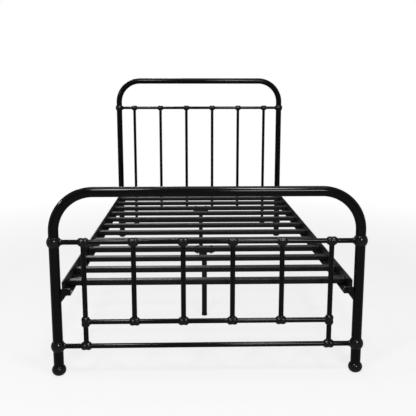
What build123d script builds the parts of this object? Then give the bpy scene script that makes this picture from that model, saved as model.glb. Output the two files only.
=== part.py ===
"""Single metal bed frame: two bent-tube end boards, two angle side rails, a slatted base and centre legs.

Millimetres. +Z is up, +Y runs from the foot end to the head end, +X is to the right seen from the foot end.
The origin is on the floor under the middle of the frame.
"""

import os

from build123d import *

# Overall layout, between centre lines of the corner posts
POST_SPACING = 950.0
FRAME_LENGTH = 1960.0
FOOT_TOP_HEIGHT = 589.0
HEAD_TOP_HEIGHT = 942.0
FOOT_UPPER_RAIL_HEIGHT = 433.0
HEAD_UPPER_RAIL_HEIGHT = 785.0
LOWER_RAIL_HEIGHT = 175.0
BOTTOM_RAIL_HEIGHT = 95.0

# Tubes
POST_OD = 32.0
POST_WALL = 1.2
RAIL_OD = 16.0
RAIL_WALL = 1.0
BEND_RADIUS = 124.0
SPINDLE_COUNT = 6
SPINDLE_INSET = 89.5
WELD_GAP = 0.1

# Cast knuckles that close over the tube crossings
CAST_FIT = 0.1
CAST_LIP = 1.2
TEE_HALF_LENGTH = 16.0
TEE_BEAD_RADIUS = 12.9
TEE_BEAD_OFFSET = 11.0
TEE_WAIST_RADIUS = 12.7
TEE_WAIST_HALF = 2.5
TEE_NECK_ROOT = 10.6
TEE_NECK_REACH = 15.0
TEE_NECK_SWELL = 0.6
COLLAR_HALF_HEIGHT = 15.2
COLLAR_RIDGE_RADIUS = 22.6
COLLAR_RIDGE_HALF = 2.0
COLLAR_SWELL = 0.9
COLLAR_NECK_ROOT = 10.2
COLLAR_NECK_REACH = 24.5

# Ball feet and the glides pressed into them
BALL_HEIGHT = 29.5
BALL_RADIUS = 22.6
BALL_BASE_RADIUS = 15.0
SOCKET_DEPTH = 16.5
GLIDE_RADIUS = 13.0
GLIDE_PROUD = 2.0
GLIDE_SEAT = 3.0
GLIDE_EDGE = 1.2
GLIDE_STEM_RADIUS = 3.0
GLIDE_STEM_LENGTH = 6.0
GLIDE_FIT = 0.1

# Corner brackets welded to the posts, seen from the end as a plate with a stepped lower edge
PLATE_THICKNESS = 4.0
BRACKET_FOOT_DROP = 22.0
BRACKET_RISE = 21.0
BRACKET_STEP_REACH = 32.5
BRACKET_REACH = 46.0
BRACKET_CORNER = 5.0

# Side rails: steel angle with the flat leg at the bottom
RAIL_SEAT_HEIGHT = 262.0
ANGLE_HEIGHT = 42.0
ANGLE_THICKNESS = 3.0
ANGLE_OUTER_REACH = 18.0
ANGLE_CORNER = 5.0

# Corner bolts, M8
BOLT_REACH = 30.0
BOLT_RISE = 11.0
BOLT_DIAMETER = 8.0
BOLT_HEAD_FLATS = 13.0
BOLT_HEAD_HEIGHT = 5.3
BOLT_CHAMFER = 0.8
BOLT_TAIL = 3.0
NUT_HEIGHT = 6.5
WASHER_DIAMETER = 16.0
WASHER_THICKNESS = 1.6
HOLE_CLEARANCE = 0.4
THREAD_FIT = 0.05

# Slats and their end caps
SLAT_COUNT = 13
END_SLAT_COUNT = 3
END_SLAT_INSET = 100.0
SLAT_WIDTH = 30.0
SLAT_HEIGHT = 18.0
SLAT_WALL = 1.0
SLAT_CORNER = 3.0
CAP_WALL = 2.0
CAP_LENGTH = 22.0
CAP_FIT = 0.15
CAP_SIDE_GAP = 1.0
PEG_RADIUS = 3.0
PEG_LENGTH = 7.0
PEG_FIT = 0.2

# Two stronger cross bars, each on a centre leg
BAR_WALL = 1.5
PLUG_INSERT = 14.0
PLUG_FLANGE = 1.5
LEG_SIZE = 20.0
LEG_WALL = 1.5
LEG_CORNER = 2.5
LEG_PLATE_LENGTH = 78.0
LEG_PLATE_WIDTH = 28.0
LEG_PLATE_THICKNESS = 3.0
LEG_PLATE_CORNER = 6.0
LEG_BOLT_PITCH = 54.0

# Screws of the cross bars and legs, M6 with domed heads
SCREW_DIAMETER = 6.0
SCREW_HEAD_RADIUS = 6.5
SCREW_HEAD_HEIGHT = 3.2
SCREW_TAIL = 2.0
SCREW_SOCKET_FLATS = 4.0
SCREW_SOCKET_DEPTH = 1.8
SCREW_NUT_FLATS = 10.0
SCREW_NUT_HEIGHT = 5.0
BAR_SCREW_INSET = 12.0

# Levelling glides under the centre legs
INSERT_FLANGE = 3.0
INSERT_DEPTH = 24.0
PAD_RADIUS = 11.0
PAD_HEIGHT = 8.0
PAD_EDGE = 1.5
STUD_DIAMETER = 8.0
STUD_LENGTH = 22.0
STUD_FIT = 0.06

# Values worked out from the sizes above
POST_X = POST_SPACING / 2
POST_R = POST_OD / 2
RAIL_R = RAIL_OD / 2
END_Y = FRAME_LENGTH / 2
BALL_FLOOR = GLIDE_PROUD
SOCKET_FLOOR = BALL_HEIGHT - SOCKET_DEPTH
SEAT_TOP = RAIL_SEAT_HEIGHT + ANGLE_THICKNESS
ANGLE_OUTER_X = POST_X - ANGLE_OUTER_REACH
ANGLE_INNER_X = POST_X - BRACKET_REACH
WEB_INNER_X = ANGLE_OUTER_X - ANGLE_THICKNESS
ANGLE_TOP = RAIL_SEAT_HEIGHT + ANGLE_HEIGHT
BRACKET_FOOT_HEIGHT = RAIL_SEAT_HEIGHT - BRACKET_FOOT_DROP
BRACKET_TOP = RAIL_SEAT_HEIGHT + BRACKET_RISE
BOLT_HEIGHT = RAIL_SEAT_HEIGHT + BOLT_RISE
RAIL_END_Y = END_Y - PLATE_THICKNESS / 2 - PLATE_THICKNESS
SPINDLE_PITCH = (POST_SPACING - 2 * SPINDLE_INSET) / (SPINDLE_COUNT - 1)
SPINDLE_XS = [(i - (SPINDLE_COUNT - 1) / 2) * SPINDLE_PITCH for i in range(SPINDLE_COUNT)]
OUTER_SPINDLE_X = SPINDLE_XS[-1]
SLAT_PITCH = (FRAME_LENGTH - 2 * END_SLAT_INSET) / (SLAT_COUNT - 1)
LEGGED_SLATS = (END_SLAT_COUNT, SLAT_COUNT - 1 - END_SLAT_COUNT)
SLAT_YS = [(i - (SLAT_COUNT - 1) / 2) * SLAT_PITCH for i in range(SLAT_COUNT)]
PLAIN_SLAT_YS = [y for i, y in enumerate(SLAT_YS) if i not in LEGGED_SLATS]
LEGGED_SLAT_YS = {"front": SLAT_YS[LEGGED_SLATS[0]], "rear": SLAT_YS[LEGGED_SLATS[1]]}
DECK_HEIGHT = SEAT_TOP + CAP_WALL + SLAT_HEIGHT
BAR_HEIGHT = DECK_HEIGHT - SEAT_TOP
CAP_END_X = WEB_INNER_X - CAP_SIDE_GAP
SLAT_END_X = CAP_END_X - CAP_WALL
PEG_X = (WEB_INNER_X + ANGLE_INNER_X) / 2
BAR_END_X = CAP_END_X - PLUG_FLANGE
BAR_SCREW_X = CAP_END_X - BAR_SCREW_INSET
LEG_TOP = SEAT_TOP - LEG_PLATE_THICKNESS
LEG_BASE = PAD_HEIGHT + INSERT_FLANGE

parts = {}


def tube(start, end, diameter, wall):
    """A straight round tube between two points."""
    start, end = Vector(*start), Vector(*end)
    ring = Circle(diameter / 2) - Circle(diameter / 2 - wall)
    return extrude(Plane(start, z_dir=end - start) * ring, (end - start).length)


def rod(start, end, radius):
    """A solid round bar between two points, used as a cutter or a core."""
    start, end = Vector(*start), Vector(*end)
    return extrude(Plane(start, z_dir=end - start) * Circle(radius), (end - start).length)


def swelling(near, far, swell):
    """An arc from near to far that bows outwards from their chord by swell."""
    near, far = Vector(*near), Vector(*far)
    chord = far - near
    bow = Vector(chord.Y, -chord.X).normalized() * swell
    return ThreePointArc(near, (near + far) * 0.5 + bow, far)


# End boards


def hoop(top_height):
    """One bent tube makes both posts and the top rail of an end board."""
    path = FilletPolyline(
        (-POST_X, 0, SOCKET_FLOOR),
        (-POST_X, 0, top_height),
        (POST_X, 0, top_height),
        (POST_X, 0, SOCKET_FLOOR),
        radius=BEND_RADIUS,
    )
    ring = Plane(path @ 0, z_dir=path % 0) * (Circle(POST_R) - Circle(POST_R - POST_WALL))
    return sweep(ring, path=path)


def cross_rail(height, half_span, end_radius):
    """A rail across the board with its ends coped to round uprights at half_span."""
    rail = tube((-half_span, 0, height), (half_span, 0, height), RAIL_OD, RAIL_WALL)
    for x in (-half_span, half_span):
        rail -= rod((x, 0, height - RAIL_OD), (x, 0, height + RAIL_OD), end_radius + WELD_GAP)
    return rail


def spindle(x, low, high):
    """An upright between two rails, coped to both."""
    upright = tube((x, 0, low), (x, 0, high), RAIL_OD, RAIL_WALL)
    for z in (low, high):
        upright -= rod((x - RAIL_OD, 0, z), (x + RAIL_OD, 0, z), RAIL_R + WELD_GAP)
    return upright


def neck(root, tip, reach):
    """A flared neck down -Z, swelling a little between its root and its tip."""
    flare = swelling((tip, -reach), (root, -root / 2), TEE_NECK_SWELL)
    outline = [
        Line((0, 0), (root, 0)),
        Line((root, 0), (root, -root / 2)),
        flare,
        Line((tip, -reach), (0, -reach)),
        Line((0, -reach), (0, 0)),
    ]
    return revolve(Plane.XZ * make_face(outline), Axis.Z)


def tee_knuckle():
    """A casting over a tee of two rail tubes: a double bead along X and a neck down -Z."""
    lip = RAIL_R + CAST_FIT + CAST_LIP
    half, waist = TEE_HALF_LENGTH, TEE_WAIST_HALF
    outline = [
        Line((-half, 0), (half, 0)),
        Line((half, 0), (half, lip)),
        ThreePointArc((half, lip), (TEE_BEAD_OFFSET, TEE_BEAD_RADIUS), (waist, TEE_WAIST_RADIUS)),
        Line((waist, TEE_WAIST_RADIUS), (-waist, TEE_WAIST_RADIUS)),
        ThreePointArc((-waist, TEE_WAIST_RADIUS), (-TEE_BEAD_OFFSET, TEE_BEAD_RADIUS), (-half, lip)),
        Line((-half, lip), (-half, 0)),
    ]
    casting = revolve(make_face(outline), Axis.X) + neck(TEE_NECK_ROOT, lip, TEE_NECK_REACH)
    bore = RAIL_R + CAST_FIT
    casting -= rod((-2 * half, 0, 0), (2 * half, 0, 0), bore)
    casting -= rod((0, 0, 0), (0, 0, -2 * TEE_NECK_REACH), bore)
    return casting


def post_collar():
    """A ridged casting round a post along Z, with a neck along -X over the end of a rail."""
    lip = POST_R + CAST_FIT + CAST_LIP
    rail_lip = RAIL_R + CAST_FIT + CAST_LIP
    half, ridge = COLLAR_HALF_HEIGHT, COLLAR_RIDGE_HALF
    outline = [
        Line((0, -half), (lip, -half)),
        swelling((lip, -half), (COLLAR_RIDGE_RADIUS, -ridge), COLLAR_SWELL),
        Line((COLLAR_RIDGE_RADIUS, -ridge), (COLLAR_RIDGE_RADIUS, ridge)),
        swelling((COLLAR_RIDGE_RADIUS, ridge), (lip, half), COLLAR_SWELL),
        Line((lip, half), (0, half)),
        Line((0, half), (0, -half)),
    ]
    casting = revolve(Plane.XZ * make_face(outline), Axis.Z)
    casting += Rot(0, 90, 0) * neck(COLLAR_NECK_ROOT, rail_lip, COLLAR_NECK_REACH)
    casting -= rod((0, 0, -2 * half), (0, 0, 2 * half), POST_R + CAST_FIT)
    casting -= rod((0, 0, 0), (-2 * COLLAR_NECK_REACH, 0, 0), RAIL_R + CAST_FIT)
    return casting


def ball_foot():
    """A cast ball foot: a socket for the post above, a recess for the glide below."""
    lip = POST_R + CAST_FIT + CAST_LIP
    outline = [
        Line((0, BALL_FLOOR), (BALL_BASE_RADIUS, BALL_FLOOR)),
        ThreePointArc(
            (BALL_BASE_RADIUS, BALL_FLOOR),
            (BALL_RADIUS, (BALL_FLOOR + BALL_HEIGHT) / 2),
            (lip, BALL_HEIGHT),
        ),
        Line((lip, BALL_HEIGHT), (0, BALL_HEIGHT)),
        Line((0, BALL_HEIGHT), (0, BALL_FLOOR)),
    ]
    foot = revolve(Plane.XZ * make_face(outline), Axis.Z)
    foot -= rod((0, 0, SOCKET_FLOOR), (0, 0, 2 * BALL_HEIGHT), POST_R + CAST_FIT)
    seat = BALL_FLOOR + GLIDE_SEAT
    foot -= rod((0, 0, 0), (0, 0, seat), GLIDE_RADIUS + GLIDE_FIT)
    foot -= rod((0, 0, 0), (0, 0, seat + GLIDE_STEM_LENGTH), GLIDE_STEM_RADIUS + GLIDE_FIT)
    return foot


def foot_glide():
    """A hard plastic glide with a rounded edge and a stem that presses into the ball foot."""
    seat = BALL_FLOOR + GLIDE_SEAT
    disc = rod((0, 0, 0), (0, 0, seat), GLIDE_RADIUS)
    disc = fillet(disc.edges().group_by(Axis.Z)[0], GLIDE_EDGE)
    return disc + rod((0, 0, 0), (0, 0, seat + GLIDE_STEM_LENGTH), GLIDE_STEM_RADIUS)


def corner_bracket():
    """A plate in the plane of the board, welded to the post's inner side, for the right-hand post at x = 0."""
    outline = Polyline(
        (0, BRACKET_FOOT_HEIGHT),
        (-POST_R, BRACKET_FOOT_HEIGHT),
        (-BRACKET_STEP_REACH, RAIL_SEAT_HEIGHT),
        (-BRACKET_REACH, RAIL_SEAT_HEIGHT),
        (-BRACKET_REACH, BRACKET_TOP),
        (0, BRACKET_TOP),
        close=True,
    )
    face = make_face(outline)
    top_corner = face.vertices().sort_by(Axis.Y)[-2:].sort_by(Axis.X)[0]
    face = fillet(top_corner, BRACKET_CORNER)
    plate = extrude(Plane.XZ * face, PLATE_THICKNESS / 2, both=True)
    plate -= rod((0, 0, 0), (0, 0, 2 * BRACKET_TOP), POST_R + WELD_GAP)
    return plate - bolt_hole(0)


def bolt_hole(post_x):
    """The clearance hole along Y for the bolt of a corner."""
    x = post_x - BOLT_REACH
    reach = 4 * PLATE_THICKNESS
    return rod((x, -reach, BOLT_HEIGHT), (x, reach, BOLT_HEIGHT), BOLT_DIAMETER / 2 + HOLE_CLEARANCE)


def end_board(name, end_y, top_height, upper_height):
    """All the pieces of one end board, made at the origin's plane and moved to its end of the frame."""
    place = Pos(0, end_y, 0)
    tee = tee_knuckle()
    collar = post_collar()
    mirrored_collar = Rot(0, 0, 180) * collar
    foot = ball_foot()
    glide = foot_glide()
    bracket = corner_bracket()
    parts[f"{name}_hoop"] = [place * hoop(top_height)]
    parts[f"{name}_upper_rail"] = [place * cross_rail(upper_height, POST_X, POST_R)]
    parts[f"{name}_bottom_rail"] = [place * cross_rail(BOTTOM_RAIL_HEIGHT, POST_X, POST_R)]
    parts[f"{name}_lower_rail"] = [place * cross_rail(LOWER_RAIL_HEIGHT, OUTER_SPINDLE_X, RAIL_R)]
    for number, x in enumerate(SPINDLE_XS, 1):
        low = BOTTOM_RAIL_HEIGHT if abs(x) == OUTER_SPINDLE_X else LOWER_RAIL_HEIGHT
        parts[f"{name}_spindle_{number}"] = [place * spindle(x, low, upper_height)]
    neck_up = Rot(180, 0, 0)
    inner_xs = SPINDLE_XS[1:-1]
    outer_xs = (-OUTER_SPINDLE_X, OUTER_SPINDLE_X)
    parts[f"{name}_upper_knuckles"] = [place * Pos(x, 0, upper_height) * tee for x in SPINDLE_XS]
    parts[f"{name}_lower_knuckles"] = [place * Pos(x, 0, LOWER_RAIL_HEIGHT) * neck_up * tee for x in inner_xs]
    parts[f"{name}_bottom_knuckles"] = [place * Pos(x, 0, BOTTOM_RAIL_HEIGHT) * neck_up * tee for x in outer_xs]
    parts[f"{name}_side_knuckles"] = [
        place * Pos(x, 0, LOWER_RAIL_HEIGHT) * Rot(0, 90 if x > 0 else -90, 0) * tee for x in outer_xs
    ]
    parts[f"{name}_post_collars"] = [
        place * Pos(x, 0, z) * (collar if x > 0 else mirrored_collar)
        for x in (-POST_X, POST_X)
        for z in (BOTTOM_RAIL_HEIGHT, upper_height)
    ]
    parts[f"{name}_glides"] = [place * Pos(x, 0, 0) * glide for x in (-POST_X, POST_X)]
    for side, x, turn in (("left", -POST_X, 180), ("right", POST_X, 0)):
        parts[f"{name}_{side}_ball_foot"] = [place * Pos(x, 0, 0) * foot]
        parts[f"{name}_{side}_bracket"] = [place * Pos(x, 0, 0) * Rot(0, 0, turn) * bracket]


# Side rails


def side_rail():
    """The right-hand rail: an angle with its flat leg inwards, holed for the slat pegs and cross bar screws."""
    outline = Polyline(
        (ANGLE_OUTER_X, RAIL_SEAT_HEIGHT),
        (ANGLE_OUTER_X, ANGLE_TOP),
        (WEB_INNER_X, ANGLE_TOP),
        (WEB_INNER_X, SEAT_TOP),
        (ANGLE_INNER_X, SEAT_TOP),
        (ANGLE_INNER_X, RAIL_SEAT_HEIGHT),
        close=True,
    )
    face = make_face(outline)
    heel = face.vertices().sort_by(Axis.X)[-2:].sort_by(Axis.Y)[0]
    face = fillet(heel, ANGLE_CORNER)
    rail = extrude(Plane.XZ * face, RAIL_END_Y, both=True)
    holes = [(PEG_X, y, PEG_RADIUS + PEG_FIT) for y in PLAIN_SLAT_YS]
    holes += [(BAR_SCREW_X, y, SCREW_DIAMETER / 2 + HOLE_CLEARANCE) for y in LEGGED_SLAT_YS.values()]
    for x, y, radius in holes:
        rail -= rod((x, y, 0), (x, y, SEAT_TOP + ANGLE_THICKNESS), radius)
    return rail


def rail_end_plate():
    """The plate welded across a rail's end, for the right-hand rail at the head end, centred on its own thickness."""
    width = ANGLE_OUTER_X - ANGLE_INNER_X
    middle = ((ANGLE_OUTER_X + ANGLE_INNER_X) / 2, (RAIL_SEAT_HEIGHT + BRACKET_TOP) / 2)
    face = Pos(*middle) * RectangleRounded(width, BRACKET_RISE, ANGLE_CORNER)
    plate = extrude(Plane.XZ * face, PLATE_THICKNESS / 2, both=True)
    return plate - bolt_hole(POST_X)


def hexagon(flats, height, chamfer_length):
    """A hexagonal prism up from z = 0 with its top edge chamfered."""
    prism = extrude(RegularPolygon(flats / 2, 6, major_radius=False), height)
    return chamfer(prism.edges().group_by(Axis.Z)[-1], chamfer_length)


def corner_fasteners():
    """Bolt, washer and nut of each corner; the heads face out of the frame at both ends."""
    grip = 2 * PLATE_THICKNESS + WASHER_THICKNESS
    shank = grip + NUT_HEIGHT + BOLT_TAIL
    bolt = hexagon(BOLT_HEAD_FLATS, BOLT_HEAD_HEIGHT, BOLT_CHAMFER)
    bolt += rod((0, 0, 0), (0, 0, -shank), BOLT_DIAMETER / 2)
    washer = rod((0, 0, -WASHER_THICKNESS), (0, 0, 0), WASHER_DIAMETER / 2)
    washer -= rod((0, 0, -shank), (0, 0, shank), BOLT_DIAMETER / 2 + HOLE_CLEARANCE)
    nut = Rot(180, 0, 0) * hexagon(BOLT_HEAD_FLATS, NUT_HEIGHT, BOLT_CHAMFER)
    nut -= rod((0, 0, -shank), (0, 0, shank), BOLT_DIAMETER / 2 + THREAD_FIT)
    nut = Pos(0, 0, -grip) * nut
    face_y = END_Y + PLATE_THICKNESS / 2 + WASHER_THICKNESS
    places = [
        Pos(side * (POST_X - BOLT_REACH), end * face_y, BOLT_HEIGHT) * Rot(-90 * end, 0, 0)
        for side in (-1, 1)
        for end in (-1, 1)
    ]
    parts["corner_bolts"] = [place * bolt for place in places]
    parts["corner_washers"] = [place * washer for place in places]
    parts["corner_nuts"] = [place * nut for place in places]


def side_rails():
    rail = side_rail()
    plate = rail_end_plate()
    parts["right_side_rail"] = [rail]
    parts["left_side_rail"] = [Rot(0, 0, 180) * rail]
    plate_y = END_Y - PLATE_THICKNESS
    right = [Pos(0, y, 0) * plate for y in (-plate_y, plate_y)]
    parts["rail_end_plates"] = right + [Rot(0, 0, 180) * p for p in right]
    corner_fasteners()


# Slatted base


def box_tube(width, height, wall, corner, half_length):
    """A rounded box tube along X, standing on z = 0."""
    outer = RectangleRounded(width, height, corner)
    inner = RectangleRounded(width - 2 * wall, height - 2 * wall, corner - wall)
    return Pos(0, 0, height / 2) * extrude(Plane.YZ * (outer - inner), half_length, both=True)


def slat_cap():
    """A plastic shoe plugged into the right-hand end of a slat, with a peg that drops into the rail."""
    seat = RectangleRounded(SLAT_WIDTH, CAP_WALL + SLAT_HEIGHT, SLAT_CORNER)
    shoe = Pos(0, 0, (CAP_WALL + SLAT_HEIGHT) / 2) * extrude(Plane.YZ * seat, CAP_LENGTH)
    slat_space = Plane.YZ * Rectangle(SLAT_WIDTH, SLAT_HEIGHT)
    shoe -= Pos(0, 0, CAP_WALL + SLAT_HEIGHT / 2) * extrude(slat_space, CAP_LENGTH - CAP_WALL)
    tongue_size = [size - 2 * (SLAT_WALL + CAP_FIT) for size in (SLAT_WIDTH, SLAT_HEIGHT)]
    tongue = extrude(Plane.YZ * RectangleRounded(*tongue_size, SLAT_CORNER - SLAT_WALL), CAP_LENGTH)
    cap = shoe + Pos(0, 0, CAP_WALL + SLAT_HEIGHT / 2) * tongue
    cap = Pos(CAP_END_X - CAP_LENGTH, 0, SEAT_TOP) * cap
    return cap + rod((PEG_X, 0, SEAT_TOP + CAP_WALL / 2), (PEG_X, 0, SEAT_TOP - PEG_LENGTH), PEG_RADIUS)


def slats():
    slat = Pos(0, 0, SEAT_TOP + CAP_WALL) * box_tube(SLAT_WIDTH, SLAT_HEIGHT, SLAT_WALL, SLAT_CORNER, SLAT_END_X)
    cap = slat_cap()
    parts["slats"] = [Pos(0, y, 0) * slat for y in PLAIN_SLAT_YS]
    parts["slat_end_caps"] = [
        Pos(0, y, 0) * Rot(0, 0, turn) * cap for y in PLAIN_SLAT_YS for turn in (0, 180)
    ]


def screw(grip, nut_height):
    """A domed screw down -Z from z = 0, long enough to pass a nut, with a hexagon socket in its head."""
    dome = swelling((SCREW_HEAD_RADIUS, 0), (SCREW_SOCKET_FLATS, SCREW_HEAD_HEIGHT), SCREW_HEAD_HEIGHT / 4)
    outline = [
        Line((0, 0), (SCREW_HEAD_RADIUS, 0)),
        dome,
        Line((SCREW_SOCKET_FLATS, SCREW_HEAD_HEIGHT), (0, SCREW_HEAD_HEIGHT)),
        Line((0, SCREW_HEAD_HEIGHT), (0, 0)),
    ]
    head = revolve(Plane.XZ * make_face(outline), Axis.Z)
    socket = extrude(RegularPolygon(SCREW_SOCKET_FLATS / 2, 6, major_radius=False), SCREW_SOCKET_DEPTH)
    head -= Pos(0, 0, SCREW_HEAD_HEIGHT - SCREW_SOCKET_DEPTH) * socket
    return head + rod((0, 0, 0), (0, 0, -(grip + nut_height + SCREW_TAIL)), SCREW_DIAMETER / 2)


def cross_bars():
    """The two bolted cross bars, their end plugs and the screws that hold bars and legs."""
    hole = SCREW_DIAMETER / 2 + HOLE_CLEARANCE
    leg_bolt_xs = (-LEG_BOLT_PITCH / 2, LEG_BOLT_PITCH / 2)
    screw_xs = (-BAR_SCREW_X, *leg_bolt_xs, BAR_SCREW_X)
    bar = Pos(0, 0, SEAT_TOP) * box_tube(SLAT_WIDTH, BAR_HEIGHT, BAR_WALL, SLAT_CORNER, BAR_END_X)
    for x in screw_xs:
        bar -= rod((x, 0, 0), (x, 0, 2 * DECK_HEIGHT), hole)
    plug = extrude(Plane.YZ * RectangleRounded(SLAT_WIDTH, BAR_HEIGHT, SLAT_CORNER), PLUG_FLANGE)
    inside = [size - 2 * (BAR_WALL + CAP_FIT) for size in (SLAT_WIDTH, BAR_HEIGHT)]
    plug += extrude(Plane.YZ * RectangleRounded(*inside, SLAT_CORNER - BAR_WALL), -PLUG_INSERT)
    plug = Pos(BAR_END_X, 0, SEAT_TOP + BAR_HEIGHT / 2) * plug
    plug -= rod((BAR_SCREW_X, 0, 0), (BAR_SCREW_X, 0, 2 * DECK_HEIGHT), hole)
    grip = BAR_HEIGHT + ANGLE_THICKNESS
    fastener = Pos(0, 0, DECK_HEIGHT) * screw(grip, SCREW_NUT_HEIGHT)
    nut = Rot(180, 0, 0) * hexagon(SCREW_NUT_FLATS, SCREW_NUT_HEIGHT, BOLT_CHAMFER)
    nut -= rod((0, 0, -grip), (0, 0, grip), SCREW_DIAMETER / 2 + THREAD_FIT)
    nut = Pos(0, 0, RAIL_SEAT_HEIGHT) * nut
    for name, y in LEGGED_SLAT_YS.items():
        parts[f"{name}_cross_bar"] = [Pos(0, y, 0) * bar]
    ys = LEGGED_SLAT_YS.values()
    parts["cross_bar_plugs"] = [Pos(0, y, 0) * Rot(0, 0, turn) * plug for y in ys for turn in (0, 180)]
    parts["base_screws"] = [Pos(x, y, 0) * fastener for y in ys for x in screw_xs]
    parts["base_nuts"] = [Pos(x, y, 0) * nut for y in ys for x in screw_xs]


# Centre legs


def leg():
    """A square tube, open at both ends."""
    outer = RectangleRounded(LEG_SIZE, LEG_SIZE, LEG_CORNER)
    inner_size = LEG_SIZE - 2 * LEG_WALL
    inner = RectangleRounded(inner_size, inner_size, LEG_CORNER - LEG_WALL)
    return Pos(0, 0, LEG_BASE) * extrude(outer - inner, LEG_TOP - LEG_BASE)


def leg_plate():
    """The plate welded across the top of a leg, holed for the two leg screws."""
    plate = extrude(RectangleRounded(LEG_PLATE_LENGTH, LEG_PLATE_WIDTH, LEG_PLATE_CORNER), LEG_PLATE_THICKNESS)
    plate = Pos(0, 0, LEG_TOP) * plate
    for x in (-LEG_BOLT_PITCH / 2, LEG_BOLT_PITCH / 2):
        plate -= rod((x, 0, 0), (x, 0, 2 * LEG_TOP), SCREW_DIAMETER / 2 + HOLE_CLEARANCE)
    return plate


def leg_insert():
    """The plastic insert in the leg's open end that takes the glide's stud."""
    inner_size = LEG_SIZE - 2 * (LEG_WALL + CAP_FIT)
    flange = extrude(RectangleRounded(LEG_SIZE, LEG_SIZE, LEG_CORNER), INSERT_FLANGE)
    body = extrude(RectangleRounded(inner_size, inner_size, LEG_CORNER - LEG_WALL), INSERT_FLANGE + INSERT_DEPTH)
    insert = Pos(0, 0, PAD_HEIGHT) * (flange + body)
    return insert - rod((0, 0, 0), (0, 0, LEG_TOP), STUD_DIAMETER / 2 + STUD_FIT)


def leg_glide():
    """A round foot on a threaded stud, screwed right in."""
    pad = rod((0, 0, 0), (0, 0, PAD_HEIGHT), PAD_RADIUS)
    pad = fillet(pad.edges().group_by(Axis.Z)[0], PAD_EDGE)
    return pad + rod((0, 0, PAD_HEIGHT / 2), (0, 0, PAD_HEIGHT + STUD_LENGTH), STUD_DIAMETER / 2)


def centre_legs():
    shaft, plate, insert, glide = leg(), leg_plate(), leg_insert(), leg_glide()
    for name, y in LEGGED_SLAT_YS.items():
        parts[f"{name}_leg"] = [Pos(0, y, 0) * shaft]
        parts[f"{name}_leg_glide"] = [Pos(0, y, 0) * glide]
    parts["leg_plates"] = [Pos(0, y, 0) * plate for y in LEGGED_SLAT_YS.values()]
    parts["leg_inserts"] = [Pos(0, y, 0) * insert for y in LEGGED_SLAT_YS.values()]


end_board("foot", -END_Y, FOOT_TOP_HEIGHT, FOOT_UPPER_RAIL_HEIGHT)
end_board("head", END_Y, HEAD_TOP_HEIGHT, HEAD_UPPER_RAIL_HEIGHT)
side_rails()
slats()
cross_bars()
centre_legs()

os.makedirs("parts", exist_ok=True)
for node, solids in parts.items():
    shape = solids[0] if len(solids) == 1 else Compound(children=solids)
    export_step(shape, f"parts/{node}.step")
print(len(parts), "nodes,", sum(len(solids) for solids in parts.values()), "pieces")
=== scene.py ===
import bmesh
import bpy
import numpy as np
from mathutils import Matrix


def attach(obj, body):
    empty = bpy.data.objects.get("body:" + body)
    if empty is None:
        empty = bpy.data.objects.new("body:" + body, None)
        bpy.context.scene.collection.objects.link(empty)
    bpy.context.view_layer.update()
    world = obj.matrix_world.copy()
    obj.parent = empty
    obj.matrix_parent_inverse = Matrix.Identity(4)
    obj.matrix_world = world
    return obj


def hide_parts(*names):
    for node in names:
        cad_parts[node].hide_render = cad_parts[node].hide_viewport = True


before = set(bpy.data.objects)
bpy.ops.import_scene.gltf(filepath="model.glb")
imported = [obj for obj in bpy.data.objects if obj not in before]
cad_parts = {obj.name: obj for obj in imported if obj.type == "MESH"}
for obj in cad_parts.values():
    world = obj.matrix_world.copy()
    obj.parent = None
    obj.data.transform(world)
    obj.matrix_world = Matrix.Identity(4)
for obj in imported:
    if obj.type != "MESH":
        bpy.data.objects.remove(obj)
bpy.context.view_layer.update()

# Hoops. Each end board is one length of 32 mm steel tube, bent twice on a former so that it makes both posts
# and the top rail. It is dipped in gloss black stoving enamel, which runs smooth with a faint orange peel.

MM = 0.001
POST_X, END_Y = 475.0, 980.0
POST_R, POST_BORE = 16.0, 14.8
BEND = 124.0
POST_FOOT = 13.0
HOOP_SIDES, BEND_STEPS = 96, 41
HOOP_TOPS = {"foot": 589.0, "head": 942.0}
BOARD_Y = {"foot": -END_Y, "head": END_Y}
SEAM = 1e-7
PATCH_LOW, PATCH_HIGH = 0.3, 0.7
PAINT_IOR = 1.5


def carried(path, radius, side, count):
    """Rings carried along a path, one a row: path + r (cos a * side + sin a * (tangent x side))."""
    path = np.asarray(path, float)
    tangent = np.gradient(path, axis=0)
    tangent /= np.linalg.norm(tangent, axis=1, keepdims=True)
    other = np.cross(tangent, side)
    angle = np.linspace(0, 2 * np.pi, count, endpoint=False)
    radius = np.broadcast_to(radius, len(path))[:, None, None]
    sideways = np.cos(angle)[None, :, None] * np.asarray(side, float)
    crossways = np.sin(angle)[None, :, None] * other[:, None]
    return path[:, None] + radius * (sideways + crossways)


def solid(name, grids, body, finish, replaced=(), crease=35, ring=False):
    """One mesh from grids of points in mm. Each grid is closed round its second axis, and round its first too
    where ring is set. Edges sharper than crease degrees stay sharp."""
    points, faces, start = [], [], 0
    for grid in grids:
        rows, count = grid.shape[:2]
        index = start + np.arange(rows * count).reshape(rows, count)
        if ring:
            index = np.vstack([index, index[:1]])
        over = np.roll(index, -1, axis=1)
        faces.append(np.stack([index[:-1], over[:-1], over[1:], index[1:]], axis=-1).reshape(-1, 4))
        points.append(grid.reshape(-1, 3))
        start += rows * count
    mesh = bpy.data.meshes.new(name)
    mesh.from_pydata((np.concatenate(points) * MM).tolist(), [], np.concatenate(faces).tolist())
    work = bmesh.new()
    work.from_mesh(mesh)
    bmesh.ops.remove_doubles(work, verts=work.verts, dist=SEAM)
    bmesh.ops.recalc_face_normals(work, faces=work.faces)
    work.to_mesh(mesh)
    work.free()
    mesh.shade_smooth()
    mesh.set_sharp_from_angle(angle=np.radians(crease))
    piece = bpy.data.objects.new(name, mesh)
    bpy.context.scene.collection.objects.link(piece)
    mesh.materials.append(finish)
    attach(piece, body)
    if replaced:
        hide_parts(*replaced)


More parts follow.
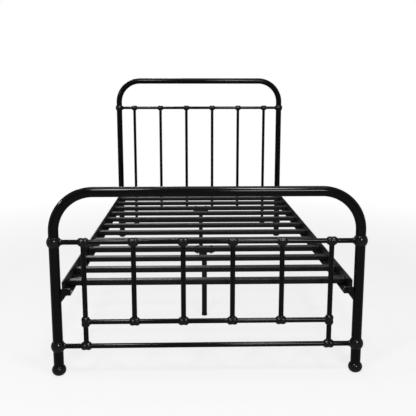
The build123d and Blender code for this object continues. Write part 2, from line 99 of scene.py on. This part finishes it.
def linear(code):
    """The linear colour of an sRGB hex value."""
    srgb = np.array([int(code[i:i + 2], 16) for i in (1, 3, 5)]) / 255
    return (*np.where(srgb <= 0.04045, srgb / 12.92, ((srgb + 0.055) / 1.055) ** 2.4), 1.0)


def add(tree, kind, inputs=None, **settings):
    """Adds a node, sets its properties, and sets or links its inputs."""
    made = tree.nodes.new(kind)
    for key, value in settings.items():
        setattr(made, key, value)
    for key, value in (inputs or {}).items():
        if isinstance(value, bpy.types.NodeSocket):
            tree.links.new(value, made.inputs[key])
        else:
            made.inputs[key].default_value = value
    return made


def coating(name, dark, light, patch_mm, rough, grain_mm, grain_depth, specular, edge_mm=0.0):
    """A paint film: two near tones in patches, gloss that wanders with them, the film's own grain as bump,
    and the round that it makes over a sheared edge. Sizes are in mm."""
    made = bpy.data.materials.new(name)
    made.use_nodes = True
    tree = made.node_tree
    shader = tree.nodes["Principled BSDF"]
    place = add(tree, "ShaderNodeTexCoord").outputs["Object"]
    cloud = {"Vector": place, "Scale": 1 / (patch_mm * MM), "Detail": 3.0}
    patch = add(tree, "ShaderNodeTexNoise", cloud).outputs[0]
    peel = {"Vector": place, "Scale": 1 / (grain_mm * MM), "Detail": 2.0}
    grain = add(tree, "ShaderNodeTexNoise", peel).outputs[0]
    tones = {0: patch, 6: linear(dark), 7: linear(light)}
    tone = add(tree, "ShaderNodeMix", tones, data_type="RGBA").outputs[2]
    spread = {0: patch, 1: PATCH_LOW, 2: PATCH_HIGH, 3: rough[0], 4: rough[1]}
    gloss = add(tree, "ShaderNodeMapRange", spread).outputs[0]
    bump = add(tree, "ShaderNodeBump", {"Height": grain, "Strength": 1.0, "Distance": grain_depth * MM})
    if edge_mm:
        edge = add(tree, "ShaderNodeBevel", {"Radius": edge_mm * MM}).outputs[0]
        tree.links.new(edge, bump.inputs["Normal"])
    tree.links.new(tone, shader.inputs["Base Color"])
    tree.links.new(gloss, shader.inputs["Roughness"])
    tree.links.new(bump.outputs[0], shader.inputs["Normal"])
    shader.inputs["IOR"].default_value = PAINT_IOR
    shader.inputs["Specular IOR Level"].default_value = specular
    return made


# Stoving enamel on drawn tube: deep black, with a long clear highlight that the 14 mm orange peel only just
# disturbs.
tube_enamel = coating(
    "stoved_black_enamel", "#020202", "#040405", patch_mm=140, rough=(0.08, 0.12),
    grain_mm=14, grain_depth=0.002, specular=0.24,
)


def hoop_path(top):
    """Up the left post, a quarter turn, along the top, a quarter turn, and down the right post."""
    turn = np.linspace(0, np.pi / 2, BEND_STEPS)
    inner = POST_X - BEND
    left = np.stack([-inner - BEND * np.cos(turn), 0 * turn, top - BEND + BEND * np.sin(turn)], axis=1)
    right = left[::-1] * (-1, 1, 1)
    return np.vstack([[(-POST_X, 0, POST_FOOT)], left, right, [(POST_X, 0, POST_FOOT)]])


for board, top in HOOP_TOPS.items():
    path = hoop_path(top) + (0, BOARD_Y[board], 0)
    skin = carried(path, POST_R, (0, 1, 0), HOOP_SIDES)
    bore = carried(path, POST_BORE, (0, 1, 0), HOOP_SIDES)[::-1]
    wall = np.vstack([skin, bore])
    solid(f"{board}_hoop_tube", [wall], "frame", tube_enamel, [f"{board}_hoop"], ring=True)

# Cross rails and spindles. 16 mm tube cut to length, each end coped to the round of the tube that it meets,
# then held by the castings. The lower rail spans the two outer spindles, which run on to the bottom rail.

RAIL_R, RAIL_BORE = 8.0, 7.0
UPPER_RAIL = {"foot": 433.0, "head": 785.0}
LOWER_RAIL, BOTTOM_RAIL = 175.0, 95.0
SPINDLE_COUNT, SPINDLE_PITCH = 6, 154.2
SPINDLES = (np.arange(SPINDLE_COUNT) - (SPINDLE_COUNT - 1) / 2) * SPINDLE_PITCH
OUTER = SPINDLES[-1]
COPE_GAP = 0.1


def coped(low, high, radius, low_round, high_round, count=64):
    """A tube's ring and the places of both its ends: each end stands off the round of the tube that it meets,
    at low + sqrt(R^2 - y^2) and high - sqrt(R^2 - y^2)."""
    angle = np.linspace(0, 2 * np.pi, count, endpoint=False)
    across, y = radius * np.cos(angle), radius * np.sin(angle)
    first = low + np.sqrt((low_round + COPE_GAP) ** 2 - y ** 2)
    last = high - np.sqrt((high_round + COPE_GAP) ** 2 - y ** 2)
    return across, y, first, last


def coped_tube(low, high, low_round, high_round, along, centre):
    """A tube wall between two coped ends: out along the skin and back along the bore, along X or along Z."""
    rows = []
    for radius, order in ((RAIL_R, (2, 3)), (RAIL_BORE, (3, 2))):
        ring = coped(low, high, radius, low_round, high_round)
        for end in order:
            axes = (ring[end], ring[1], ring[0]) if along == "x" else (ring[0], ring[1], ring[end])
            rows.append(np.stack(axes, axis=-1) + centre)
    return np.array(rows)


for board, y in BOARD_Y.items():
    for rail, z, reach, met in (
        ("upper_rail", UPPER_RAIL[board], POST_X, POST_R),
        ("lower_rail", LOWER_RAIL, OUTER, RAIL_R),
        ("bottom_rail", BOTTOM_RAIL, POST_X, POST_R),
    ):
        tube = coped_tube(-reach, reach, met, met, "x", (0, y, z))
        solid(f"{board}_{rail}_tube", [tube], "frame", tube_enamel, [f"{board}_{rail}"], ring=True)
    for number, x in enumerate(SPINDLES, 1):
        foot = BOTTOM_RAIL if abs(x) == OUTER else LOWER_RAIL
        tube = coped_tube(foot, UPPER_RAIL[board], RAIL_R, RAIL_R, "z", (x, y, 0))
        name = f"{board}_spindle_{number}"
        solid(f"{name}_tube", [tube], "frame", tube_enamel, [name], ring=True)

# Tee knuckles. Metal is poured into a two-part mould closed over each tube crossing, so the casting is beaded
# and has a thin flash line in the plane of the board where the halves met. It is enamelled with the tubes.

LIP = 9.3
TEE_HALF, BEAD_X, BEAD_R = 16.0, 11.0, 12.9
WAIST_HALF, WAIST_R = 2.5, 12.7
NECK_R, NECK_END, NECK_SWELL = 10.6, 15.0, 0.6
FLASH, FLASH_WIDTH = 0.16, 0.45
FILLET, ROUNDING = 1.0, 0.6
NECK_ROOT = 1.0
MOULD_REACH, HALVINGS, CROWDING = 60.0, 34, 0.4


def arc_height(a, p, q, r):
    """Height at a of the circle through three points, on its upper side."""
    (x1, y1), (x2, y2), (x3, y3) = p, q, r
    pull = np.array([[x2 - x1, y2 - y1], [x3 - x1, y3 - y1]]) * 2
    level = [x2 ** 2 - x1 ** 2 + y2 ** 2 - y1 ** 2, x3 ** 2 - x1 ** 2 + y3 ** 2 - y1 ** 2]
    cx, cy = np.linalg.solve(pull, level)
    size = np.hypot(x1 - cx, y1 - cy)
    return cy + np.sqrt(np.maximum(size ** 2 - (a - cx) ** 2, 0))


def bead(a):
    """Radius of the double bead at a along its axis: an arc each side of a short level waist."""
    a = np.minimum(np.abs(a), TEE_HALF)
    arc = arc_height(a, (TEE_HALF, LIP), (BEAD_X, BEAD_R), (WAIST_HALF, WAIST_R))
    return np.where(a < WAIST_HALF, WAIST_R, arc)


def flare(a, root, end):
    """Radius of a neck at a from the crossing: level for half its root radius, then drawn in along a slightly
    swollen slope to the lip at its end."""
    u = np.clip((a - root / 2) / (end - root / 2), 0, 1)
    return root + (LIP - root) * u + 4 * NECK_SWELL * u * (1 - u)


def fill(a, b, width):
    """The lesser of two distances, rounded where they are near: the fillet of a casting."""
    h = np.clip(0.5 + 0.5 * (b - a) / width, 0, 1)
    return b + (a - b) * h - width * h * (1 - h)


def cast(barrel, half, neck, end, turns=100, slices=88):
    """A casting as seen from its crossing: along each direction, the distance at which the filleted join of a
    barrel along Z and a neck along -X ends, found by halving. Slices crowd to the flash line at y = 0."""
    tilt = np.linspace(0, np.pi, turns)[:, None]
    even = np.linspace(0, 2 * np.pi, slices, endpoint=False)[None]
    spin = even - CROWDING * np.sin(2 * even)
    level = np.sin(tilt)
    aim = np.stack([level * np.cos(spin), level * np.sin(spin), np.cos(tilt) + 0 * spin], axis=-1)
    near, far = np.zeros(aim.shape[:2]), np.full(aim.shape[:2], MOULD_REACH)
    for _ in range(HALVINGS):
        middle = (near + far) / 2
        x, y, z = np.moveaxis(aim * middle[..., None], -1, 0)
        flash = FLASH * (np.exp(-((y / FLASH_WIDTH) ** 2)) - 1)
        body = -fill(-(np.hypot(x, y) - barrel(z) - flash), -(np.abs(z) - half), ROUNDING)
        spout = -fill(-(np.hypot(y, z) - neck(-x) - flash), -(np.maximum(-x - end, x - NECK_ROOT)), ROUNDING)
        inside = fill(body, spout, FILLET) < 0
        near, far = np.where(inside, middle, near), np.where(inside, far, middle)
    return aim * near[..., None]


def turned(grid, x_to, z_to):
    """The grid with its X and Z axes laid along two other axes, and Y to suit."""
    x_to, z_to = np.asarray(x_to, float), np.asarray(z_to, float)
    return grid @ np.stack([x_to, np.cross(z_to, x_to), z_to])


# The same enamel on a poured surface: the film follows a soft 5 mm unevenness of the casting under it.
cast_enamel = coating(
    "black_enamel_on_casting", "#020202", "#050505", patch_mm=60, rough=(0.05, 0.09),
    grain_mm=5, grain_depth=0.012, specular=0.45,
)
tee = cast(bead, TEE_HALF, lambda a: flare(a, NECK_R, NECK_END), NECK_END)
tee_down = turned(tee, (0, 0, 1), (1, 0, 0))
tee_up = turned(tee, (0, 0, -1), (1, 0, 0))
for board, y in BOARD_Y.items():
    sets = {
        "upper_knuckles": [tee_down + (x, y, UPPER_RAIL[board]) for x in SPINDLES],
        "lower_knuckles": [tee_up + (x, y, LOWER_RAIL) for x in SPINDLES[1:-1]],
        "bottom_knuckles": [tee_up + (x, y, BOTTOM_RAIL) for x in (-OUTER, OUTER)],
        "side_knuckles": [turned(tee, (s, 0, 0), (0, 0, 1)) + (s * OUTER, y, LOWER_RAIL) for s in (-1, 1)],
    }
    for name, grids in sets.items():
        solid(f"{board}_{name}_castings", grids, "frame", cast_enamel, [f"{board}_{name}"])

# Post collars. Cast over the posts in the same way where the upper and bottom rails meet them, with a blunt
# ridge round the middle and a neck drawn in over the end of the rail.

COLLAR_HALF, RIDGE_R, RIDGE_HALF = 15.2, 22.6, 2.0
COLLAR_LIP, COLLAR_SWELL = 17.3, 0.9
COLLAR_NECK_R, COLLAR_NECK_END = 10.2, 24.5


def ridged(a):
    """Radius of the collar at a above or below its ridge: drawn in to the lip along a swollen slope."""
    u = np.clip((np.abs(a) - RIDGE_HALF) / (COLLAR_HALF - RIDGE_HALF), 0, 1)
    return RIDGE_R + (COLLAR_LIP - RIDGE_R) * u + 4 * COLLAR_SWELL * u * (1 - u)


collar = cast(ridged, COLLAR_HALF, lambda a: flare(a, COLLAR_NECK_R, COLLAR_NECK_END), COLLAR_NECK_END)
for board, y in BOARD_Y.items():
    grids = [
        turned(collar, (side, 0, 0), (0, 0, 1)) + (side * POST_X, y, z)
        for side in (-1, 1)
        for z in (BOTTOM_RAIL, UPPER_RAIL[board])
    ]
    solid(f"{board}_post_collar_castings", grids, "frame", cast_enamel, [f"{board}_post_collars"])

# Ball feet and glides. A flattened cast ball is a push fit on the end of each post and is enamelled with it.
# A hard plastic glide is pressed into its underside and keeps the casting off the floor.

BALL_LOW, BALL_TOP, BALL_R, BALL_BASE = 2.0, 29.5, 22.6, 15.0
GLIDE_SEAT, GLIDE_HOLE = 5.0, 13.1
SOCKET_R = 16.1
BALL_STEPS = 33


def lathe(profile, count=96):
    """A profile of (radius, height) points turned about Z."""
    profile = np.asarray(profile, float)
    angle = np.linspace(0, 2 * np.pi, count, endpoint=False)
    ring = np.stack([np.cos(angle), np.sin(angle)], axis=-1)
    flat = profile[:, None, :1] * ring[None]
    return np.concatenate([flat, np.broadcast_to(profile[:, None, 1:], flat.shape[:2] + (1,))], axis=-1)


heights = np.linspace(BALL_LOW, BALL_TOP, BALL_STEPS)
middle = (BALL_LOW + BALL_TOP) / 2
swell = arc_height(heights, (BALL_LOW, BALL_BASE), (middle, BALL_R), (BALL_TOP, COLLAR_LIP))
ball = np.vstack([
    [(0, GLIDE_SEAT), (GLIDE_HOLE, GLIDE_SEAT), (GLIDE_HOLE, BALL_LOW)],
    np.stack([swell, heights], axis=1),
    [(SOCKET_R, BALL_TOP), (SOCKET_R, POST_FOOT), (0, POST_FOOT)],
])
for board, y in BOARD_Y.items():
    for side, x in (("left", -POST_X), ("right", POST_X)):
        name = f"{board}_{side}_ball_foot"
        solid(f"{name}_casting", [lathe(ball) + (x, y, 0)], "frame", cast_enamel, [name])

# Moulded polyethylene: matt black from a spark-eroded mould, its 1 mm grain drawn at 2 mm so that it shows.
moulded_black = coating(
    "moulded_black_polyethylene", "#0c0c0d", "#141414", patch_mm=35, rough=(0.48, 0.6),
    grain_mm=2, grain_depth=0.04, specular=0.3, edge_mm=0.6,
)
for board in BOARD_Y:
    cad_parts[f"{board}_glides"].data.materials[0] = moulded_black

# Corner brackets. 4 mm plates with a stepped lower edge, welded to the inner side of each post before it is
# enamelled. The weld is a rippled bead on both faces, and the enamel runs over it.

BRACKET_LOW, BRACKET_TOP, PLATE = 240.0, 283.0, 4.0
WELD_R, WELD_RIPPLE, WELD_DEPTH, WELD_TIP = 2.4, 2.6, 0.14, 2.0
WELD_STEP, WELD_SIDES = 0.4, 20
WELD_INSET = 2.0

# The same enamel on sheared plate: it lies flatter than on a casting and draws back to a round at each edge.
plate_enamel = coating(
    "black_enamel_on_plate", "#020202", "#050505", patch_mm=90, rough=(0.1, 0.16),
    grain_mm=8, grain_depth=0.004, specular=0.3, edge_mm=0.8,
)


def weld(path, side):
    """A bead along a path: radius R (1 - depth + depth |sin(pi s / ripple)|), rounded off at its two tips."""
    ends = np.asarray(path, float)
    runs = np.linalg.norm(np.diff(ends, axis=0), axis=1)
    along = np.concatenate([[0], np.cumsum(runs)])
    s = np.linspace(0, along[-1], int(along[-1] / WELD_STEP) + 2)
    line = np.stack([np.interp(s, along, ends[:, k]) for k in range(3)], axis=1)
    tip = np.minimum(np.minimum(s, s[-1] - s) / WELD_TIP, 1)
    ripple = 1 - WELD_DEPTH + WELD_DEPTH * np.abs(np.sin(np.pi * s / WELD_RIPPLE))
    return carried(line, WELD_R * ripple * np.sqrt(1 - (1 - tip) ** 2), side, WELD_SIDES)


beads = []
for y in BOARD_Y.values():
    for side in (-1, 1):
        for face in (-1, 1):
            x, edge = side * (POST_X - POST_R), y + face * PLATE / 2
            ends = [(x, edge, BRACKET_LOW + WELD_INSET), (x, edge, BRACKET_TOP - WELD_INSET)]
            beads.append(weld(ends, (1, 0, 0)))
solid("bracket_weld_beads", beads, "frame", cast_enamel)
for board in BOARD_Y:
    for side in ("left", "right"):
        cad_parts[f"{board}_{side}_bracket"].data.materials[0] = plate_enamel

# Side rails. Hot rolled steel angle, flat leg inwards, with a plate welded across each end that bolts to the
# bracket. The pegs of the slats drop into holes punched in the flat leg.

RAIL_END, WEB_INNER, FLAT_INNER = 974.0, 454.0, 429.0
SEAT_TOP, END_PLATE_TOP = 265.0, 283.0
WEB_WELD_INSET, FLAT_WELD_INSET = 3.0, 4.0

# Polyester powder coat on plate and rolled section: satin, with a fine 1.5 mm leatheriness.
powder_coat = coating(
    "satin_black_powder_coat", "#121213", "#1a1a1b", patch_mm=90, rough=(0.3, 0.4),
    grain_mm=1.5, grain_depth=0.012, specular=0.3, edge_mm=0.8,
)

beads = []
for end in (-1, 1):
    for side in (-1, 1):
        y = end * RAIL_END
        corner = (side * WEB_INNER, y, SEAT_TOP)
        beads.append(weld([(side * WEB_INNER, y, END_PLATE_TOP - WEB_WELD_INSET), corner], (1, 0, 0)))
        beads.append(weld([corner, (side * (FLAT_INNER + FLAT_WELD_INSET), y, SEAT_TOP)], (0, 0, 1)))
solid("rail_end_weld_beads", beads, "frame", powder_coat)
for name in ("left_side_rail", "right_side_rail", "rail_end_plates"):
    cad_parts[name].data.materials[0] = powder_coat

# Corner bolts. M8 hexagon bolts, cold forged and blackened, go through bracket and end plate from outside the
# frame, with a blackened washer under the head and a zinc plated nut inside.

BOLT_X, BOLT_Z = 445.0, 273.0
HEAD_FACE = 983.6
FLATS, HEAD, SHANK, BOLT_R = 13.0, 5.3, 19.1, 4.0
PITCH, THREAD, THREADED = 1.25, 0.7, 12.0
CONE_SHARE, CONE_DEPTH, CONE_STEPS = 0.96, 1.4, 9
THREAD_STEPS, SHANK_SIDES = 97, 32


def threaded(z, radius):
    """A thread: radius less a triangle wave of (z / pitch - turn), one ring a height."""
    turn = np.linspace(0, 1, SHANK_SIDES, endpoint=False)[None]
    wave = np.abs(2 * ((z[:, None] / PITCH - turn) % 1) - 1)
    return rings(z, radius - THREAD * wave)


def rings(z, radius):
    """Rings about Z at heights z, of radius (height, angle)."""
    angle = np.linspace(0, 2 * np.pi, radius.shape[1], endpoint=False)
    high = np.broadcast_to(np.asarray(z, float)[:, None], radius.shape)
    return np.stack([radius * np.cos(angle), radius * np.sin(angle), high], axis=-1)


def hexagon(z, flats, top, count=96):
    """A hexagon's radius at heights z: (flats / 2) / cos of the angle off each flat, cut back by the cone of
    30 degrees at its top."""
    off = (np.linspace(0, 2 * np.pi, count, endpoint=False) + np.pi / 6) % (np.pi / 3) - np.pi / 6
    cone = flats / 2 * CONE_SHARE + (top - np.asarray(z, float)[:, None]) * np.sqrt(3)
    return np.minimum(flats / 2 / np.cos(off)[None], cone)


def plated(name, cool, warm, rough, bloom_mm=7, dimple_mm=0.8, dimple_depth=0.012):
    """A plated metal: a bloom of two near tints in clouds, gloss that wanders with it, and fine dimples."""
    made = bpy.data.materials.new(name)
    made.use_nodes = True
    tree = made.node_tree
    shader = tree.nodes["Principled BSDF"]
    place = add(tree, "ShaderNodeTexCoord").outputs["Object"]
    bloom = {"Vector": place, "Scale": 1 / (bloom_mm * MM), "Detail": 3.0}
    cloud = add(tree, "ShaderNodeTexNoise", bloom).outputs[0]
    dimples = {"Vector": place, "Scale": 1 / (dimple_mm * MM), "Detail": 1.0}
    fine = add(tree, "ShaderNodeTexNoise", dimples).outputs[0]
    tints = {0: cloud, 6: linear(cool), 7: linear(warm)}
    tint = add(tree, "ShaderNodeMix", tints, data_type="RGBA").outputs[2]
    gloss = add(tree, "ShaderNodeMapRange", {0: cloud, 3: rough[0], 4: rough[1]}).outputs[0]
    dent = {"Height": fine, "Strength": 1.0, "Distance": dimple_depth * MM}
    dimple = add(tree, "ShaderNodeBump", dent).outputs[0]
    shader.inputs["Metallic"].default_value = 1.0
    for socket, value in (("Base Color", tint), ("Roughness", gloss), ("Normal", dimple)):
        tree.links.new(value, shader.inputs[socket])
    return made


# Bright zinc, passivated: a white metal with a faint blue and straw bloom. Black oxide: the same forged steel
# turned a dark grey that only glints on its edges.
zinc_plate = plated("bright_zinc_plating", "#aeb6c0", "#d3cdbd", (0.24, 0.42))
black_oxide = plated("black_oxide_steel", "#26272a", "#34322f", (0.28, 0.44))

head_z = np.concatenate([[0, 0], np.linspace(HEAD - CONE_DEPTH, HEAD, CONE_STEPS), [HEAD]])
head = hexagon(head_z, FLATS, HEAD)
head[0] = head[-1] = 0
head = rings(head_z, head)
plain_z = np.array([0, 0, THREADED - SHANK])
round_shank = np.ones((1, SHANK_SIDES))
plain = rings(plain_z, np.array([0, BOLT_R, BOLT_R])[:, None] * round_shank)
thread_z = np.linspace(THREADED - SHANK, -SHANK, THREAD_STEPS)
point = rings(np.array([-SHANK, -SHANK]), np.array([BOLT_R - THREAD, 0])[:, None] * round_shank)
shank = np.vstack([plain, threaded(thread_z, BOLT_R), point])
grids = []
for side in (-1, 1):
    for end in (-1, 1):
        seat = (side * BOLT_X, end * HEAD_FACE, BOLT_Z)
        grids += [turned(grid, (1, 0, 0), (0, end, 0)) + seat for grid in (head, shank)]
solid("corner_bolts_threaded", grids, "frame", black_oxide, ["corner_bolts"], crease=25)
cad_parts["corner_washers"].data.materials[0] = black_oxide
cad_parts["corner_nuts"].data.materials[0] = zinc_plate

# Slats and cross bars. Flat box tube rolled from strip with round corners, powder coated. Eleven slats sit in
# plastic shoes; two heavier bars are screwed to the rails and stand on the centre legs.

SLAT_W, SLAT_H, SLAT_WALL, SLAT_R = 30.0, 18.0, 1.0, 3.0
SLAT_LOW, SLAT_END = 267.0, 451.0
SLAT_SPAN, SLAT_GAPS = 1760.0, 12
SLAT_YS = (np.arange(SLAT_GAPS + 1) - SLAT_GAPS / 2) * (SLAT_SPAN / SLAT_GAPS)
LEGGED = (3, 9)


def rounded_box(width, height, corner, steps=8):
    """The outline of a box with round corners, counter-clockwise, as (across, up) points."""
    turn = np.linspace(0, np.pi / 2, steps)
    quarter = np.stack([np.cos(turn), np.sin(turn)], axis=1) * corner
    corners = []
    for k in range(4):
        c, s = np.cos(k * np.pi / 2), np.sin(k * np.pi / 2)
        sx, sy = (1, -1, -1, 1)[k], (1, 1, -1, -1)[k]
        centre = (sx * (width / 2 - corner), sy * (height / 2 - corner))
        corners.append(quarter @ np.array([[c, s], [-s, c]]) + centre)
    return np.vstack(corners)


def box_tube(width, height, wall, corner, low, high):
    """The wall of a box tube along Z: out along the skin and back along the bore."""
    skin = rounded_box(width, height, corner)
    bore = rounded_box(width - 2 * wall, height - 2 * wall, corner - wall)
    rows = ((skin, low), (skin, high), (bore, high), (bore, low))
    return np.array([np.column_stack([line, np.full(len(line), z)]) for line, z in rows])


slat = turned(box_tube(SLAT_W, SLAT_H, SLAT_WALL, SLAT_R, -SLAT_END, SLAT_END), (0, 1, 0), (1, 0, 0))
plain_slats = [slat + (0, y, SLAT_LOW + SLAT_H / 2) for k, y in enumerate(SLAT_YS) if k not in LEGGED]
solid("slat_tubes", plain_slats, "frame", powder_coat, ["slats"], ring=True)
for name in ("front_cross_bar", "rear_cross_bar"):
    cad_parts[name].data.materials[0] = powder_coat
for name in ("slat_end_caps", "cross_bar_plugs"):
    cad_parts[name].data.materials[0] = moulded_black
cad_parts["base_screws"].data.materials[0] = black_oxide
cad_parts["base_nuts"].data.materials[0] = zinc_plate

# Centre legs. Square tube welded under a plate that the leg screws pull up against the cross bar, with a
# plastic insert in the open end for the levelling glide.

LEG, LEG_WALL, LEG_R = 20.0, 1.5, 2.5
LEG_LOW, LEG_TOP = 11.0, 262.0
LEG_YS = {"front": SLAT_YS[LEGGED[0]], "rear": SLAT_YS[LEGGED[1]]}
LEG_WELD_INSET = 1.0

for name, y in LEG_YS.items():
    shaft = box_tube(LEG, LEG, LEG_WALL, LEG_R, LEG_LOW, LEG_TOP) + (0, y, 0)
    solid(f"{name}_leg_tube", [shaft], "frame", powder_coat, [f"{name}_leg"], ring=True)
    half = LEG / 2
    run = half - LEG_WELD_INSET
    across = [[(-run, y + s * half, LEG_TOP), (run, y + s * half, LEG_TOP)] for s in (-1, 1)]
    along = [[(s * half, y - run, LEG_TOP), (s * half, y + run, LEG_TOP)] for s in (-1, 1)]
    beads = [weld(ends, (0, 0, 1)) for ends in across + along]
    solid(f"{name}_leg_weld_beads", beads, "frame", powder_coat)
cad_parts["leg_plates"].data.materials[0] = powder_coat
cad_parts["leg_inserts"].data.materials[0] = moulded_black

# Levelling glides. A moulded foot with a fluted grip on a plated M8 stud, screwed into the leg's insert by
# hand until it meets the floor.

PAD_R, PAD_H, PAD_EDGE, PAD_BRIM = 11.0, 8.0, 1.5, 0.6
GRIP_LOW, GRIP_HIGH, GRIP_ROWS = 2.0, 7.2, 9
FLUTES, FLUTE, PAD_SIDES, EDGE_STEPS = 18, 0.5, 216, 7
STUD_R, STUD_LOW, STUD_TOP, STUD_STEPS = 4.0, 7.0, 30.0, 145

edge = np.linspace(0, np.pi / 2, EDGE_STEPS)
sole = np.stack([PAD_R - PAD_EDGE + PAD_EDGE * np.sin(edge), PAD_EDGE - PAD_EDGE * np.cos(edge)], axis=1)
grip = np.stack([np.full(GRIP_ROWS, PAD_R), np.linspace(GRIP_LOW, GRIP_HIGH, GRIP_ROWS)], axis=1)
brim = (PAD_R - PAD_BRIM, PAD_H - PAD_BRIM) + PAD_BRIM * np.stack([np.cos(edge), np.sin(edge)], axis=1)
pad = np.vstack([[(0, 0)], sole, grip, brim, [(0, PAD_H)]])
angle = np.linspace(0, 2 * np.pi, PAD_SIDES, endpoint=False)
depth = np.zeros(len(pad))
grip_start = 1 + len(sole)
depth[grip_start:grip_start + GRIP_ROWS] = FLUTE * np.sin(np.linspace(0, np.pi, GRIP_ROWS)) ** 0.5
pad_grid = rings(pad[:, 1], pad[:, :1] - depth[:, None] * (0.5 - 0.5 * np.cos(FLUTES * angle))[None])
stud_z = np.linspace(STUD_LOW, STUD_TOP, STUD_STEPS)
stud_ends = [rings(np.array([z]), 0 * round_shank) for z in (STUD_LOW, STUD_TOP)]
stud_grid = np.vstack([stud_ends[0], threaded(stud_z, STUD_R), stud_ends[1]])
for name, y in LEG_YS.items():
    body = f"{name}_glide"
    solid(f"{name}_leg_glide_pad", [pad_grid + (0, y, 0)], body, moulded_black, [f"{name}_leg_glide"])
    stud = stud_grid + (0, y, 0)
    solid(f"{name}_leg_glide_stud", [stud], body, zinc_plate, crease=25)

# Floor and light. A white floor and surround, a soft panel overhead and one beside the camera, two narrow
# lamps over the foot end whose streaks run along its tubes, a strip behind the head end, and a lamp for the
# left bend.

FLOOR_SIZE = 60
FLOOR_NEAR, FLOOR_FAR, NEAR_WHITE = 1.0, 2.5, 0.77
REFLECTED, SURROUND = 0.2, 0.08
WHITE = (1, 1, 1, 1)


def background_share(tree):
    """How much of the white background a ray sees: all of it from the camera and through glass, and a part
    in a reflection, so that the black enamel stays black."""
    seen = add(tree, "ShaderNodeLightPath").outputs
    straight = {0: seen["Is Camera Ray"], 1: seen["Is Transmission Ray"]}
    direct = add(tree, "ShaderNodeMath", straight).outputs[0]
    parts = {0: seen["Is Glossy Ray"], 1: REFLECTED, 2: direct}
    return add(tree, "ShaderNodeMath", parts, operation="MULTIPLY_ADD", use_clamp=True).outputs[0]


# White floor paint: it takes the frame's shadow where the camera looks and turns pure white further out.
bpy.ops.mesh.primitive_plane_add(size=FLOOR_SIZE)
floor = bpy.context.object
floor.name = "studio_floor"
white = bpy.data.materials.new("white_floor_paint")
white.use_nodes = True
tree = white.node_tree
looked_at = add(tree, "ShaderNodeLightPath").outputs["Is Camera Ray"]
paints = {0: looked_at, 6: linear("#808080"), 7: linear("#f0f0f0")}
paint = add(tree, "ShaderNodeMix", paints, data_type="RGBA").outputs[2]
matt = add(tree, "ShaderNodeBsdfDiffuse", {"Color": paint}).outputs[0]
glow = add(tree, "ShaderNodeEmission", {"Color": WHITE, "Strength": 1.0}).outputs[0]
place = add(tree, "ShaderNodeTexCoord").outputs["Object"]
away = add(tree, "ShaderNodeVectorMath", {0: place}, operation="LENGTH").outputs["Value"]
fade = {0: away, 1: FLOOR_NEAR, 2: FLOOR_FAR, 3: NEAR_WHITE, 4: 1.0}
parts = {0: background_share(tree), 1: add(tree, "ShaderNodeMapRange", fade).outputs[0]}
share = add(tree, "ShaderNodeMath", parts, operation="MULTIPLY").outputs[0]
both = add(tree, "ShaderNodeMixShader", {0: share, 1: matt, 2: glow}).outputs[0]
tree.links.new(both, tree.nodes["Material Output"].inputs["Surface"])
floor.data.materials.append(white)

world = bpy.data.worlds.new("studio")
bpy.context.scene.world = world
world.use_nodes = True
tree = world.node_tree
dim = add(tree, "ShaderNodeBackground", {"Color": WHITE, "Strength": SURROUND}).outputs[0]
bright = add(tree, "ShaderNodeBackground", {"Color": WHITE, "Strength": 1.0}).outputs[0]
both = add(tree, "ShaderNodeMixShader", {0: background_share(tree), 1: dim, 2: bright}).outputs[0]
tree.links.new(both, tree.nodes["World Output"].inputs["Surface"])


def standing(place, right, up, back):
    """The transform of something at place whose X, Y and Z axes lie along right, up and back."""
    return Matrix.Translation(place) @ Matrix(np.column_stack([right, up, back]).tolist()).to_4x4()


# Each lamp: its place and what it faces in metres, its width and height, and its power in watts.
for name, place, aim, size, power in (
    ("overhead_panel", (0.0, -0.3, 2.9), (0.0, -0.2, 0.0), (2.2, 2.6), 15),
    ("foot_left_lamp", (-0.56, -2.1, 2.6), (-0.1, -0.95, 0.5), (0.3, 0.7), 18),
    ("foot_right_lamp", (0.42, -1.7, 2.6), (0.0, -0.95, 0.5), (0.3, 0.7), 18),
    ("front_panel", (0.75, -4.2, 2.0), (0.1, -0.98, 0.4), (0.9, 0.8), 32),
    ("rear_strip", (-1.2, 3.6, 2.3), (0.0, 0.6, 0.5), (2.2, 0.2), 26),
    ("left_lamp", (-2.5, -0.9, 1.7), (-0.4, -0.95, 0.5), (0.2, 0.2), 10),
):
    lamp = bpy.data.lights.new(name, "AREA")
    lamp.shape = "RECTANGLE"
    lamp.size, lamp.size_y = size
    lamp.energy = power
    light = bpy.data.objects.new(name, lamp)
    bpy.context.scene.collection.objects.link(light)
    back = np.array(place) - aim
    back /= np.linalg.norm(back)
    right = np.cross((0, 0, 1), back)
    right /= np.linalg.norm(right)
    light.matrix_world = standing(place, right, np.cross(back, right), back)

# Camera. It stands beyond the foot end, a little below the top of the head board and left of the middle, and
# looks slightly down and to the right; its lens was fitted to the frame's own corners.

SENSOR, IMAGE_WIDTH, FOCAL_PIXELS = 36, 416, 647.22
EYE = (-0.0523, -2.9292, 0.8975)
EYE_RIGHT, EYE_UP = (0.99964, -0.02677, 0.0), (0.00486, 0.18131, 0.98341)
EYE_BACK = (-0.02633, -0.98306, 0.18137)

lens = bpy.data.cameras.new("camera")
lens.sensor_width = SENSOR
lens.lens = FOCAL_PIXELS / IMAGE_WIDTH * SENSOR
camera = bpy.data.objects.new("camera", lens)
bpy.context.scene.collection.objects.link(camera)
camera.matrix_world = standing(EYE, EYE_RIGHT, EYE_UP, EYE_BACK)
bpy.context.scene.camera = camera
bpy.context.scene.view_settings.view_transform = "Standard"
